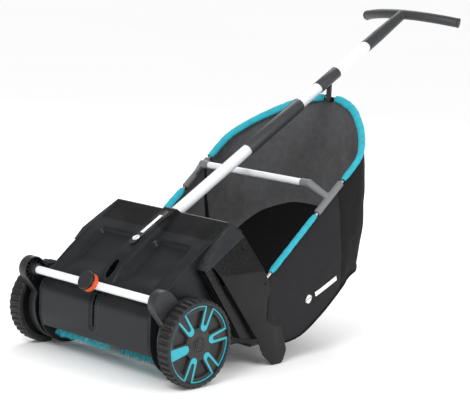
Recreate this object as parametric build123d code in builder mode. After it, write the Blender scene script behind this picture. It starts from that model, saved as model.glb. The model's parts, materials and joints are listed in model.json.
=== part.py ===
"""Push lawn sweeper: a brush in a housing, geared to two wheels, that throws into a hung bag.

Millimetres, +Z up. The front of the machine looks along -Y and its width lies along X.
Profiles are drawn with y measured from the wheel axle, so side views are easy to read.
"""

import os
from math import atan2, cos, degrees, radians, sin

from build123d import *

# ---------------------------------------------------------------- wheels and gears
wheel_r = 105.0
wheel_width = 39.0
wheel_inner_x = 255.0
rim_r = 93.0
hub_r = 13.0
stub_r = 5.0
run_fit = 0.05
wheel_face_depth = 5.0
wheel_web = 10.0
window_depth = 8.0
spoke_count = 6
filled_spoke_angle = 190.0
tongue_outer = (43.0, 10.5, 15.0)
tongue_inner = (51.5, 5.5, 11.0)
trim_r = 92.0
trim_line = 3.2
trim_rise = 1.2
hub_groove_r = 17.5
hub_groove = 1.5
gear_module = 2.0
ring_teeth = 33
pinion_teeth = 11
gear_face = 11.0
pinion_face = 7.0
gear_gap = 1.5

# ---------------------------------------------------------------- brush and housing
brush_rise = 3.0
brush_r = 92.0
brush_core_r = 22.0
brush_shaft_r = 6.0
brush_rows = 5
bristle_slab = 9.0
brush_gap = 5.0
housing_half = 200.0
wall = 3.0
end_plate = 6.0
pivot_collar_r = 14.0
bush_r = 8.5
lip_angle = 205.0
hood_rear = (172.0, 364.0)
hood_rim = [(-28, 222), (13, 256), (44, 279), (77, 301), (119, 326), hood_rear]
pocket_inner_x = 35.0
pocket_outer_x = 166.0
spine_half = 24.0
spine_cover = 4.0

# ---------------------------------------------------------------- height frame
cross_tube_y = -77.0
cross_tube_z = 204.0
cross_tube_r = 10.0
tube_wall = 1.5
arm_inner_x = 226.0
arm_outer_x = 251.0
arm_end_r = 31.0
arm_hub_r = 30.0
shroud_r = 96.0
arm_wall = 3.0
tube_boss_r = 14.0
clamp_rise = 30.0
clamp_bolt_r = 3.0
slot_half = 15.0
slot_low_z = 88.0
slot_high_z = 206.0
slot_floor = 2.5
slit_low_z = 104.0
slit_high_z = 196.0
knob_r = 24.0
knob_gap = 0.4
knob_ring_depth = 14.0
knob_cap_depth = 9.0
knob_edge_r = 3.0

# ---------------------------------------------------------------- handle
handle_y = 211.0
handle_z = 372.0
handle_tilt = 29.9
handle_r = 15.0
handle_wall = 1.2
socket_start = -190.0
sleeve_start = 255.0
sleeve_end = 475.0
clip_start = 557.0
clip_end = 639.0
stem_start = 773.0
stem_end = 948.0
grip_half = 161.5
grip_sweep_back = 42.5
grip_drop = 13.0
grip_r = 13.5
grip_cap = 7.0
grip_cap_edge = 4.0
grip_tip_reach = 0.68

# ---------------------------------------------------------------- side panels
panel_x = 250.0
panel_top_x = 218.0
panel_top_z = 340.0
panel_fold_z = 245.0
panel_wall = 4.0
foot_y = 317.0

# ---------------------------------------------------------------- bag and its frame
bag_half = 241.0
rod_y = 284.0
rod_z = 234.0
rod_tilt = 39.8
rod_r = 4.0
rod_front = -60.0
hoop_start = 319.0
hoop_straight = 60.0
hoop_depth = 286.4
hoop_corner = (26.0, 76.0)
hoop_shoulder = (131.0, 187.0)
fabric = 2.0
sleeve_r = 10.5
sleeve_gap = 0.4
bag_front_y = 266.0
bag_floor = [(266, 60), (340, 50), (420, 66), (460, 90), (786, 338)]
bag_tube_y = 462.0
bag_tube_z = 435.0
bag_tube_r = 9.0
bag_tube_half = 193.0
tee_start = 208.0
tee_end = 318.0
apex_gap = 34.0
notch_half = 10.0
notch_depth = 14.0

# ---------------------------------------------------------------- worked out from the above
gear_centres = gear_module * (ring_teeth - pinion_teeth) / 2
brush_y = (gear_centres**2 - brush_rise**2) ** 0.5
brush_z = wheel_r + brush_rise
housing_r = brush_r + brush_gap + wall
wheel_outer_x = wheel_inner_x + wheel_width
face_x = wheel_outer_x - wheel_face_depth
gear_x = wheel_inner_x + gear_gap
pinion_inner_x = gear_x + 1.0
front_y = brush_y - housing_r
slot_floor_r = housing_r - 2.0
slit_half = clamp_bolt_r + 0.6
knob_reach = cross_tube_r + knob_gap + knob_ring_depth + knob_cap_depth
clamp_cos = cos(radians(clamp_rise))
clamp_sin = sin(radians(clamp_rise))
knob_round = knob_edge_r * (clamp_cos + clamp_sin - 1)
front_reach = knob_reach * clamp_cos + knob_r * clamp_sin - knob_round - cross_tube_y
grip_y = handle_y + stem_end * cos(radians(handle_tilt))
grip_z = handle_z + stem_end * sin(radians(handle_tilt))
back_reach = grip_y + grip_sweep_back + grip_r + grip_tip_reach
axle_y = (front_reach - back_reach) / 2


# ---------------------------------------------------------------- planes
def side_plane(x):
    """Side view at x: first coordinate is y from the axle, second is height, normal +X."""
    return Plane(origin=(x, axle_y, 0), x_dir=(0, 1, 0), z_dir=(1, 0, 0))


def front_plane(y):
    """Front view at y from the axle: x across, height up, normal towards the front."""
    return Plane(origin=(0, axle_y + y, 0), x_dir=(1, 0, 0), z_dir=(0, -1, 0))


def line_point(y, z, tilt, along):
    """The point reached by going along a line that rises backwards at tilt degrees."""
    return (y + along * cos(radians(tilt)), z + along * sin(radians(tilt)))


def tilted_plane(x, y, z, tilt):
    """Plane across a line that rises backwards at tilt degrees, normal along the line."""
    direction = (0, cos(radians(tilt)), sin(radians(tilt)))
    return Plane(origin=(x, axle_y + y, z), x_dir=(1, 0, 0), z_dir=direction)


def handle_plane(along):
    """Plane across the handle tube, at a distance along it from the housing's rear edge."""
    y, z = line_point(handle_y, handle_z, handle_tilt, along)
    return tilted_plane(0, y, z, handle_tilt)


def rod_plane(x, along):
    """Plane across a bag rod, at a distance along it from the front end of its sleeve."""
    y, z = line_point(rod_y, rod_z, rod_tilt, along)
    return tilted_plane(x, y, z, rod_tilt)


def hoop_plane():
    """The plane that the rods and hoop lie in: x across, second coordinate up the slope."""
    normal = (0, -sin(radians(rod_tilt)), cos(radians(rod_tilt)))
    return Plane(origin=(0, axle_y + rod_y, rod_z), x_dir=(1, 0, 0), z_dir=normal)


def clamp_plane(along):
    """Plane across the clamp bolt, at a distance outwards from the cross tube's centre."""
    y = cross_tube_y - along * cos(radians(clamp_rise))
    z = cross_tube_z + along * sin(radians(clamp_rise))
    direction = (0, -cos(radians(clamp_rise)), sin(radians(clamp_rise)))
    return Plane(origin=(0, axle_y + y, z), x_dir=(1, 0, 0), z_dir=direction)


def tube(plane, outer, inner, length):
    """A straight tube from the plane, along its normal."""
    with BuildPart() as piece:
        with BuildSketch(plane):
            Circle(outer)
            if inner > 0:
                Circle(inner, mode=Mode.SUBTRACT)
        extrude(amount=length)
    return piece


def left_copy(right_piece):
    """The same piece for the other side of the machine."""
    with BuildPart() as copy:
        add(right_piece.part)
        mirror(about=Plane.YZ, mode=Mode.REPLACE)
    return copy


def joined(*pieces):
    """Separate solids that share one node."""
    with BuildPart() as group:
        for piece in pieces:
            add(piece.part)
    return group


# ---------------------------------------------------------------- housing
def on_housing(angle, radius):
    """A point at an angle and radius about the brush axis, in the side view."""
    return (brush_y + radius * cos(radians(angle)), brush_z + radius * sin(radians(angle)))


def housing_outline():
    """Closed side outline of the housing: round front, rising hood, straight rear and bottom."""
    start = on_housing(lip_angle, housing_r)
    with BuildSketch() as outline:
        with BuildLine():
            CenterArc((brush_y, brush_z), housing_r, 180, lip_angle - 180)
            FilletPolyline((front_y, brush_z), (front_y, 168), *hood_rim, radius=24)
            Polyline(hood_rear, (215, 340), (215, 20), (start[0], 20), start)
        make_face()
    return outline.sketch


def spine_line(y):
    """Top of the cover that hides the handle tube under the hood."""
    axis_z = handle_z + (y - handle_y) * sin(radians(handle_tilt)) / cos(radians(handle_tilt))
    return axis_z + (handle_r + spine_cover) / cos(radians(handle_tilt))


def spine_outline(inset):
    """Side outline of the raised spine, drawn in from its outer face by inset."""
    rear = hood_rear[0]
    with BuildSketch() as outline:
        with BuildLine():
            Polyline(
                (rear, 300),
                (rear, spine_line(rear) - inset * 1.15),
                (35, spine_line(35) - inset * 1.15),
                (4 + inset, 262 - inset),
                (-44 + inset, 210 - inset),
                (-44 + inset, 190),
                (rear, 300),
            )
        make_face()
    return outline.sketch


def scoop_outline(extra):
    """Side outline of a hollow pressed into the hood beside the spine."""
    with BuildSketch() as outline:
        with BuildLine():
            Polyline(
                (88 + extra, 360),
                (88 + extra, 305 - extra),
                (76 + extra, 287 - extra),
                (40, 262 - extra),
                (0, 233 - extra),
                (-46, 203 - extra * 2),
                (-46, 360),
                (88 + extra, 360),
            )
        make_face()
    return outline.sketch


def build_hood_void():
    """Everything inside the hood's skin."""
    inner_half = housing_half + 1
    with BuildPart() as void:
        with BuildSketch(side_plane(-inner_half)):
            add(housing_outline())
            offset(amount=-wall, mode=Mode.REPLACE)
        extrude(amount=2 * inner_half)
        with BuildSketch(side_plane(-spine_half + wall)):
            add(spine_outline(wall))
        extrude(amount=2 * (spine_half - wall))
        for start in (pocket_inner_x - wall, -pocket_outer_x - wall):
            with BuildSketch(side_plane(start)):
                add(scoop_outline(wall))
            extrude(amount=pocket_outer_x - pocket_inner_x + 2 * wall, mode=Mode.SUBTRACT)
    return void


def rear_cut_outline():
    """What lies behind the hood's rear edge and under the front lip."""
    lip = on_housing(lip_angle, housing_r + 50)
    with BuildSketch() as outline:
        with BuildLine():
            Polyline(
                (hood_rear[0], 500),
                (hood_rear[0], 345),
                (brush_y, brush_z),
                lip,
                (lip[0], -50),
                (400, -50),
                (400, 500),
                (hood_rear[0], 500),
            )
        make_face()
    return outline.sketch


def draw_stadium(half, low, high):
    """Upright slot with round ends, in a front view."""
    with Locations((0, (low + high) / 2)):
        SlotOverall(high - low, 2 * half, rotation=90)


def build_slot_pan(void_r):
    """Pocket walls and curved floor that the clamp shoe slides on."""
    depth = 90.0
    with BuildPart() as pan:
        with BuildSketch(front_plane(5)):
            draw_stadium(slot_half + wall, slot_low_z - wall, slot_high_z + wall)
        extrude(amount=depth)
        with BuildSketch(side_plane(-housing_half)):
            add(housing_outline())
        extrude(amount=2 * housing_half, mode=Mode.INTERSECT)
        with BuildSketch(side_plane(-slot_half * 2)):
            with Locations((brush_y, brush_z)):
                Circle(void_r)
        extrude(amount=slot_half * 4, mode=Mode.SUBTRACT)
    return pan


def build_slot_space():
    """The empty slot itself: outside the curved floor, inside the pocket walls."""
    with BuildPart() as space:
        with BuildSketch(front_plane(5)):
            draw_stadium(slot_half, slot_low_z, slot_high_z)
        extrude(amount=120)
        with BuildSketch(side_plane(-slot_half * 2)):
            with Locations((brush_y, brush_z)):
                Circle(slot_floor_r)
        extrude(amount=slot_half * 4, mode=Mode.SUBTRACT)
    return space


def build_hood():
    void = build_hood_void()
    pan = build_slot_pan(slot_floor_r - slot_floor)
    space = build_slot_space()
    nose = on_housing(112, 132)
    nose_plane = tilted_plane(0, nose[0], nose[1], 135)
    with BuildPart() as hood:
        with BuildSketch(side_plane(-housing_half)):
            add(housing_outline())
        extrude(amount=2 * housing_half)
        for start in (pocket_inner_x, -pocket_outer_x):
            with BuildSketch(side_plane(start)):
                add(scoop_outline(0))
            extrude(amount=pocket_outer_x - pocket_inner_x, mode=Mode.SUBTRACT)
        with BuildSketch(side_plane(-spine_half)):
            add(spine_outline(0))
        extrude(amount=2 * spine_half)
        add(void.part, mode=Mode.SUBTRACT)
        with BuildSketch(side_plane(-2 * housing_half)):
            add(rear_cut_outline())
        extrude(amount=4 * housing_half, mode=Mode.SUBTRACT)
        add(pan.part)
        add(space.part, mode=Mode.SUBTRACT)
        with BuildSketch(front_plane(20)):
            draw_stadium(slit_half, slit_low_z, slit_high_z)
        extrude(amount=120, mode=Mode.SUBTRACT)
        with BuildSketch(nose_plane):
            SlotOverall(40, 15, rotation=90)
        extrude(amount=22, both=True, mode=Mode.SUBTRACT)
    return hood


def build_label_plate():
    """Plain badge plate let onto the spine's top."""
    front = (30.0, spine_line(30.0))
    length = 140.0
    plane = Plane(
        origin=(0, axle_y + front[0], front[1]),
        x_dir=(0, cos(radians(handle_tilt)), sin(radians(handle_tilt))),
        z_dir=(0, -sin(radians(handle_tilt)), cos(radians(handle_tilt))),
    )
    with BuildPart() as plate:
        with BuildSketch(plane.offset(0.2)):
            with Locations((length / 2 + 6, 0)):
                SlotOverall(length, 22)
        extrude(amount=2)
    return plate


def build_end_plate():
    """Housing side with the collar that the wheel arm turns on."""
    collar_end = arm_outer_x + 1.0
    with BuildPart() as plate:
        with BuildSketch(side_plane(housing_half)):
            add(housing_outline())
            with BuildLine():
                Polyline(
                    (215, 400), (215, 300), (brush_y + 80, brush_z), (-200, brush_z),
                    (-200, -50), (400, -50), (400, 400), (215, 400),
                )
            make_face(mode=Mode.SUBTRACT)
            with Locations((brush_y, brush_z)):
                Circle(housing_r)
        extrude(amount=end_plate)
        with BuildSketch(side_plane(housing_half)):
            with Locations((brush_y, brush_z)):
                Circle(pivot_collar_r)
        extrude(amount=collar_end - housing_half)
        with BuildSketch(side_plane(housing_half)):
            with Locations((brush_y, brush_z)):
                Circle(bush_r)
        extrude(amount=collar_end - housing_half, mode=Mode.SUBTRACT)
    return plate


def build_bush():
    """Plain bearing for the brush shaft, inside the collar."""
    plane = Plane(
        origin=(housing_half, axle_y + brush_y, brush_z), x_dir=(0, 1, 0), z_dir=(1, 0, 0)
    )
    return tube(plane, bush_r, brush_shaft_r + run_fit, arm_outer_x + 1.0 - housing_half)


def build_shoulder():
    """Flared block from the hood's side to the top edge of the side panel."""
    outer = Plane(
        origin=(housing_half + end_plate, axle_y + 176, 367), x_dir=(0, 1, 0), z_dir=(0.93, -0.013, 0.368)
    )
    with BuildPart() as shoulder:
        with BuildSketch(side_plane(housing_half + end_plate)):
            Polygon(
                (80, 293), (119, 323), (172, 361), (209, 329), (84, 271), (62, 262), align=None
            )
        extrude(amount=45)
        split(bisect_by=outer, keep=Keep.BOTTOM)
    return shoulder


def build_column():
    """Ribbed upright that closes the gap in front of the side panel."""
    inner_x = housing_half + end_plate
    front = [(62, 262), (196, 78)]
    groove = 5.0
    with BuildPart() as column:
        with BuildSketch(side_plane(inner_x)):
            Polygon(front[0], (84, 271), (238, 73), front[1], align=None)
        extrude(amount=panel_x - panel_wall - 10 - inner_x)
        for x in (inner_x + 9, inner_x + 19):
            with BuildSketch(side_plane(x)):
                Polygon((58, 250), (68 + groove, 250), (192 + groove, 82), (186, 78), align=None)
            extrude(amount=4, mode=Mode.SUBTRACT)
    return column


def build_side_panel():
    """Bent panel whose lower end is the rear foot."""
    foot_half = 20.0
    foot_round = 14.0
    with BuildPart() as panel:
        with BuildSketch(front_plane(400)):
            with BuildLine():
                FilletPolyline(
                    (panel_top_x, panel_top_z), (panel_x, panel_fold_z), (panel_x, 0), radius=30
                )
                offset(amount=panel_wall, side=Side.RIGHT)
            make_face()
        extrude(amount=360)
        with BuildSketch(side_plane(panel_top_x - 30)):
            with BuildLine():
                outline = Polyline(
                    (84, 271),
                    (209, 328),
                    (300, 162),
                    (foot_y + foot_half + 9, 34),
                    (foot_y + foot_half - 4, 0),
                    (foot_y - foot_half, 0),
                    (foot_y - 55, 30),
                    (240, 72),
                    (84, 271),
                )
            make_face()
            fillet(outline.vertices().filter_by(lambda v: v.Y < 36), foot_round)
        extrude(amount=100, mode=Mode.INTERSECT)
    return panel


def build_throat_ramp():
    """Sloping floor from behind the brush to the mouth of the bag."""
    start = on_housing(-35, brush_r + 4)
    wide_y = 218.0
    end = (bag_front_y - 3, bag_floor[0][1] + wall)
    rise = (end[1] - start[1]) / (end[0] - start[0])
    wide_z = start[1] + rise * (wide_y - start[0])
    with BuildPart() as ramp:
        with BuildSketch(side_plane(-housing_half)):
            Polygon(start, end, (end[0], end[1] - wall), (start[0], start[1] - wall), align=None)
        extrude(amount=2 * housing_half)
        with BuildSketch(side_plane(-panel_x + panel_wall)):
            Polygon((wide_y, wide_z), end, (end[0], end[1] - wall), (wide_y, wide_z - wall), align=None)
        extrude(amount=2 * (panel_x - panel_wall))
    return ramp


def build_screws():
    """Screws that hold each side panel to the housing, heads on the panel's face."""
    spots = [(196, 302), (118, 266), (262, 210), (292, 122)]
    head_r = 3.5
    lean = atan2(panel_x - panel_top_x, panel_top_z - panel_fold_z)
    with BuildPart() as screws:
        for y, z in spots:
            above = max(0.0, z - panel_fold_z)
            x = panel_x - above * (panel_x - panel_top_x) / (panel_top_z - panel_fold_z)
            normal = (cos(lean), 0, sin(lean)) if above > 0 else (1, 0, 0)
            with BuildSketch(Plane(origin=(x, axle_y + y, z), x_dir=(0, 1, 0), z_dir=normal)):
                Circle(head_r)
            extrude(amount=2)
    return screws


# ---------------------------------------------------------------- handle
def build_socket():
    """Cradle under the spine that the lower tube drops into."""
    outer_r = spine_half - wall
    length = -socket_start - 45
    with BuildPart() as socket:
        with BuildSketch(handle_plane(socket_start)):
            Circle(outer_r)
            Circle(handle_r, mode=Mode.SUBTRACT)
            with Locations((0, -outer_r)):
                Rectangle(3 * outer_r, 2 * outer_r, mode=Mode.SUBTRACT)
        extrude(amount=length)
    return socket


def build_lower_tube():
    middle = (sleeve_start + sleeve_end) / 2
    return tube(handle_plane(socket_start), handle_r, handle_r - handle_wall, middle - socket_start)


def build_upper_tube():
    middle = (sleeve_start + sleeve_end) / 2
    length = stem_start + 60 - middle
    return tube(handle_plane(middle), handle_r, handle_r - handle_wall, length)


def build_handle_stem():
    """T grip: a stem over the upper tube and one swept cross bar."""
    tip = (grip_half, axle_y + grip_y + grip_sweep_back, grip_z - grip_drop)
    with BuildPart() as grip:
        with BuildSketch(handle_plane(stem_start)):
            Circle(handle_r + 2)
        extrude(amount=60)
        with BuildSketch(handle_plane(stem_start)):
            Circle(handle_r)
        extrude(amount=60, mode=Mode.SUBTRACT)
        with BuildSketch(handle_plane(stem_start + 60)):
            Circle(handle_r + 2)
        with BuildSketch(handle_plane(stem_end)):
            Circle(grip_r)
        loft()
        with BuildLine() as bar:
            ThreePointArc((-tip[0], tip[1], tip[2]), (0, axle_y + grip_y, grip_z), tip)
        with BuildSketch(Plane(origin=bar.line @ 0, z_dir=bar.line % 0)):
            Circle(grip_r)
        sweep()
    return grip


def build_grip_caps():
    """Rounded caps on both ends of the cross bar."""
    tip = (grip_half, axle_y + grip_y + grip_sweep_back, grip_z - grip_drop)
    with BuildLine() as bar:
        ThreePointArc((-tip[0], tip[1], tip[2]), (0, axle_y + grip_y, grip_z), tip)
    outward = bar.line % 1
    with BuildPart() as right_cap:
        with BuildSketch(Plane(origin=tip, z_dir=outward)):
            Circle(grip_r + 0.5)
        extrude(amount=grip_cap)
        end_face = right_cap.faces().filter_by(GeomType.PLANE).sort_by(Axis.X)[-1]
        fillet(end_face.edges(), grip_cap_edge)
    return joined(right_cap, left_copy(right_cap))


def build_hook():
    """J hook under the clip sleeve: the bag's hoop drops into it from above and behind."""
    y, z = line_point(rod_y, rod_z, rod_tilt, hoop_start + hoop_depth)
    under = rod_r + 1.5
    thick = 6.0
    half = 6.0
    shank_front = y - under - 9
    with BuildPart() as hook:
        with BuildSketch(side_plane(-half)):
            Polygon(
                (shank_front, z + 46),
                (shank_front, z - under - thick + 3),
                (shank_front + 3, z - under - thick),
                (y + 11, z - under - thick),
                (y + 11, z - 2.5),
                (y + 7, z - 2.5),
                (y + 5, z - under),
                (shank_front + 9, z - under),
                (shank_front + 9, z + 46),
                align=None,
            )
        extrude(amount=2 * half)
        with BuildSketch(handle_plane(clip_start - 20)):
            Circle(handle_r + 1.5)
        extrude(amount=clip_end - clip_start + 40, mode=Mode.SUBTRACT)
        split(bisect_by=Plane(hook_top_face()), keep=Keep.BOTTOM)
    return hook


# ---------------------------------------------------------------- bag frame
def hook_top_face():
    """Level just under the handle's axis, above which the hook has no stock."""
    y, z = line_point(handle_y, handle_z, handle_tilt, (clip_start + clip_end) / 2)
    return Location((0, axle_y + y, z))


def draw_hoop(front, apex):
    """Right half of the frame's centre line in the hoop plane, from a front end to an apex."""
    start = hoop_start + hoop_straight
    first = (bag_half - hoop_corner[0], start + hoop_corner[1])
    second = (bag_half - hoop_shoulder[0], start + hoop_shoulder[1])
    straight = Line((bag_half, front), (bag_half, start))
    corner = TangentArc((bag_half, start), first, tangent=straight % 1)
    shoulder = TangentArc(first, second, tangent=corner % 1)
    TangentArc(second, apex, tangent=shoulder % 1)


def build_hoop():
    """The bent rod that carries the bag: both side rods and the hoop in one piece."""
    with BuildPart() as hoop:
        with BuildLine(hoop_plane()) as path:
            draw_hoop(rod_front, (0, hoop_start + hoop_depth))
            mirror(about=Plane.YZ)
        wire = path.wires()[0]
        with BuildSketch(Plane(origin=wire @ 0, z_dir=wire % 0)):
            Circle(rod_r)
        sweep(path=wire)
    return hoop


def build_hoop_sleeve():
    """Cloth sleeve on the right half of the hoop, from the tee to just short of the apex."""
    with BuildPart() as sleeve:
        with BuildLine(hoop_plane()) as path:
            draw_hoop(tee_end + 3, (apex_gap / 2, hoop_start + hoop_depth - 0.6))
        with BuildSketch(Plane(origin=path.line @ 0, z_dir=path.line % 0)):
            Circle(sleeve_r)
            Circle(rod_r + sleeve_gap, mode=Mode.SUBTRACT)
        sweep()
    return sleeve


def build_tee():
    """Joint that clamps the bag's cross tube to the side rod, with a curved web."""
    grip_r2 = bag_tube_r + 2
    socket_depth = 26.0
    foot_along = (tee_start + tee_end) / 2
    foot_y, foot_z = line_point(rod_y, rod_z, rod_tilt, foot_along)
    start = (bag_tube_half - socket_depth, axle_y + bag_tube_y, bag_tube_z)
    knee = (bag_tube_half, axle_y + bag_tube_y, bag_tube_z)
    foot = (bag_half, axle_y + foot_y, foot_z)
    with BuildPart() as tee:
        with BuildSketch(rod_plane(bag_half, tee_start)):
            Circle(rod_r + 5)
        extrude(amount=tee_end - tee_start)
        with BuildSketch(Plane(origin=start, z_dir=(1, 0, 0))):
            Circle(grip_r2)
        extrude(amount=socket_depth + 6)
        across = Vector(*foot) - Vector(*knee)
        with BuildSketch(Plane(origin=knee, z_dir=across.normalized())):
            Circle(grip_r2)
        with BuildSketch(Plane(origin=foot, z_dir=across.normalized())):
            Circle(rod_r + 5)
        loft()
        with BuildSketch(Plane(origin=start, z_dir=(1, 0, 0))):
            Circle(bag_tube_r)
        extrude(amount=socket_depth, mode=Mode.SUBTRACT)
        with BuildSketch(rod_plane(bag_half, tee_start - 5)):
            Circle(rod_r)
        extrude(amount=tee_end - tee_start + 10, mode=Mode.SUBTRACT)
    return tee


def build_bag_tube():
    """Cross tube that keeps the two side rods apart."""
    plane = Plane(
        origin=(-bag_tube_half, axle_y + bag_tube_y, bag_tube_z), x_dir=(0, 1, 0), z_dir=(1, 0, 0)
    )
    return tube(plane, bag_tube_r, bag_tube_r - tube_wall, 2 * bag_tube_half)


def build_rod_sleeve():
    """Cloth sleeve on the straight front part of a rod."""
    return tube(rod_plane(bag_half, 0), sleeve_r, rod_r, tee_start - 6)


def build_rod_socket():
    """Socket on the inner face of the side panel that takes the front end of a rod."""
    inner = 8.0
    with BuildPart() as socket:
        with BuildSketch(rod_plane(bag_half, rod_front)):
            with Locations(((panel_x - panel_wall - bag_half - inner) / 2, 0)):
                Rectangle(panel_x - panel_wall - bag_half + inner, 14)
            Circle(rod_r + run_fit, mode=Mode.SUBTRACT)
        extrude(amount=42)
    return socket


def bag_plan(inset):
    """The bag seen from above: straight sides and a round back that follows the hoop."""
    def along_y(distance):
        return rod_y + distance * cos(radians(rod_tilt))

    side_x = bag_half - inset
    bend = hoop_start + hoop_straight
    start = along_y(bend)
    first = (bag_half - hoop_corner[0] - inset * 0.95, along_y(bend + hoop_corner[1]) - inset * 0.3)
    second_y = along_y(bend + hoop_shoulder[1])
    second = (bag_half - hoop_shoulder[0] - inset * 0.6, second_y - inset * 0.8)
    apex = (0, along_y(hoop_start + hoop_depth) - inset)
    front = bag_front_y - 1
    with BuildSketch() as outline:
        with BuildLine():
            Line((side_x, front), (side_x, start))
            corner = TangentArc((side_x, start), first, tangent=(0, 1))
            shoulder = TangentArc(first, second, tangent=corner % 1)
            back = TangentArc(second, apex, tangent=shoulder % 1)
            mirror(corner, about=Plane.YZ)
            mirror(shoulder, about=Plane.YZ)
            mirror(back, about=Plane.YZ)
            Line((-side_x, start), (-side_x, front))
            Line((-side_x, front), (side_x, front))
        make_face()
    return outline.sketch


def bag_side(inset):
    """The bag from the side: sloping floor below, the rods' slope above."""
    drop = (sleeve_r + 0.3) / cos(radians(rod_tilt))
    top_front = rod_z + (bag_front_y - rod_y) * sin(radians(rod_tilt)) / cos(radians(rod_tilt)) - drop
    reach = 520.0
    top_back = top_front + reach * sin(radians(rod_tilt)) / cos(radians(rod_tilt))
    with BuildSketch() as outline:
        with BuildLine():
            Polyline(
                *[(y, z + inset) for y, z in bag_floor],
                (bag_front_y + reach, top_back),
                (bag_front_y, top_front),
                (bag_front_y, bag_floor[0][1] + inset),
            )
        make_face()
    return outline.sketch


def build_bag():
    """Cloth bag, open at the top and towards the brush, notched at the apex for the hook."""
    notch_y, notch_z = line_point(rod_y, rod_z, rod_tilt, hoop_start + hoop_depth)
    notch_z -= (sleeve_r + 0.3) / cos(radians(rod_tilt))
    sill = bag_floor[0][1] + fabric
    ground = Plane(origin=(0, axle_y, 0))
    with BuildPart() as hollow:
        with BuildSketch(ground):
            add(bag_plan(fabric))
        extrude(amount=800)
        with BuildSketch(side_plane(-bag_half - 5)):
            add(bag_side(fabric))
        extrude(amount=2 * bag_half + 10, mode=Mode.INTERSECT)
    with BuildPart() as mouth:
        with BuildSketch(side_plane(-bag_half + fabric)):
            Polygon((bag_front_y - 20, sill), (bag_front_y + 30, sill),
                    (bag_front_y + 30, 400), (bag_front_y - 20, 400), align=None)
        extrude(amount=2 * (bag_half - fabric))
    with BuildPart() as above:
        with BuildSketch(ground.offset(50)):
            add(bag_plan(fabric))
        extrude(amount=900)
        with BuildSketch(side_plane(-bag_half)):
            Polygon((bag_front_y - 50, 140), (bag_front_y + 540, 620), (bag_front_y + 540, 900),
                    (bag_front_y - 50, 900), align=None)
        extrude(amount=2 * bag_half, mode=Mode.INTERSECT)
    with BuildPart() as bag:
        with BuildSketch(ground):
            add(bag_plan(0))
        extrude(amount=800)
        with BuildSketch(side_plane(-bag_half - 5)):
            add(bag_side(0))
        extrude(amount=2 * bag_half + 10, mode=Mode.INTERSECT)
        add(hollow.part, mode=Mode.SUBTRACT)
        add(mouth.part, mode=Mode.SUBTRACT)
        add(above.part, mode=Mode.SUBTRACT)
        with BuildSketch(tilted_plane(0, notch_y, notch_z, rod_tilt)):
            Rectangle(2 * notch_half, 2 * notch_depth)
        extrude(amount=60, both=True, mode=Mode.SUBTRACT)
    return bag


# ---------------------------------------------------------------- height frame
def draw_arm(inset):
    """Side outline of a wheel arm: the cross tube's end, the two axles and the gear shroud."""
    with Locations((cross_tube_y, cross_tube_z)):
        Circle(arm_end_r - inset)
    with Locations((0, wheel_r), (brush_y, brush_z)):
        Circle(arm_hub_r - inset)
    make_hull()
    with Locations((brush_y, brush_z)):
        Circle(shroud_r - inset)


def build_arm():
    """Cup-shaped wheel arm, open towards the housing, ribbed round the tube's end."""
    boss_x = arm_inner_x - 14
    with BuildPart() as arm:
        with BuildSketch(side_plane(arm_inner_x)):
            draw_arm(0)
        extrude(amount=arm_outer_x - arm_inner_x)
        with BuildSketch(side_plane(arm_inner_x)):
            draw_arm(arm_wall)
        extrude(amount=arm_outer_x - arm_inner_x - arm_wall, mode=Mode.SUBTRACT)
        with BuildSketch(side_plane(boss_x)):
            with Locations((cross_tube_y, cross_tube_z)):
                Circle(tube_boss_r)
        extrude(amount=arm_outer_x - boss_x - 1)
        with BuildSketch(side_plane(arm_inner_x)):
            with Locations((brush_y, brush_z)):
                Circle(pivot_collar_r + 5)
            with Locations((0, wheel_r)):
                Circle(stub_r + 5)
        extrude(amount=arm_outer_x - arm_inner_x)
        for turn in range(6):
            with BuildSketch(side_plane(arm_inner_x + 6)):
                with Locations((cross_tube_y, cross_tube_z)):
                    Rectangle(2 * arm_end_r - 3, 2.2, rotation=turn * 30)
            extrude(amount=arm_outer_x - arm_inner_x - 7)
        with BuildSketch(side_plane(boss_x)):
            with Locations((cross_tube_y, cross_tube_z)):
                Circle(cross_tube_r)
        extrude(amount=arm_outer_x - boss_x - arm_wall, mode=Mode.SUBTRACT)
        with BuildSketch(side_plane(boss_x)):
            with Locations((brush_y, brush_z)):
                Circle(pivot_collar_r + run_fit)
            with Locations((0, wheel_r)):
                Circle(stub_r)
        extrude(amount=arm_outer_x, mode=Mode.SUBTRACT)
    return arm


def build_cross_tube():
    half = arm_outer_x - arm_wall
    plane = Plane(
        origin=(-half, axle_y + cross_tube_y, cross_tube_z), x_dir=(0, 1, 0), z_dir=(1, 0, 0)
    )
    with BuildPart() as piece:
        add(tube(plane, cross_tube_r, cross_tube_r - tube_wall, 2 * half).part)
        with BuildSketch(clamp_plane(-cross_tube_r * 1.5)):
            Circle(clamp_bolt_r)
        extrude(amount=cross_tube_r * 3, mode=Mode.SUBTRACT)
    return piece


def build_stub_axle():
    """Steel pin that a wheel turns on, with a head inside the arm."""
    with BuildPart() as axle:
        with BuildSketch(side_plane(arm_inner_x)):
            with Locations((0, wheel_r)):
                Circle(stub_r)
        extrude(amount=face_x - 3 - arm_inner_x)
        with BuildSketch(side_plane(arm_inner_x - 3)):
            with Locations((0, wheel_r)):
                Circle(stub_r + 2)
        extrude(amount=3)
    return axle


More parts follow.
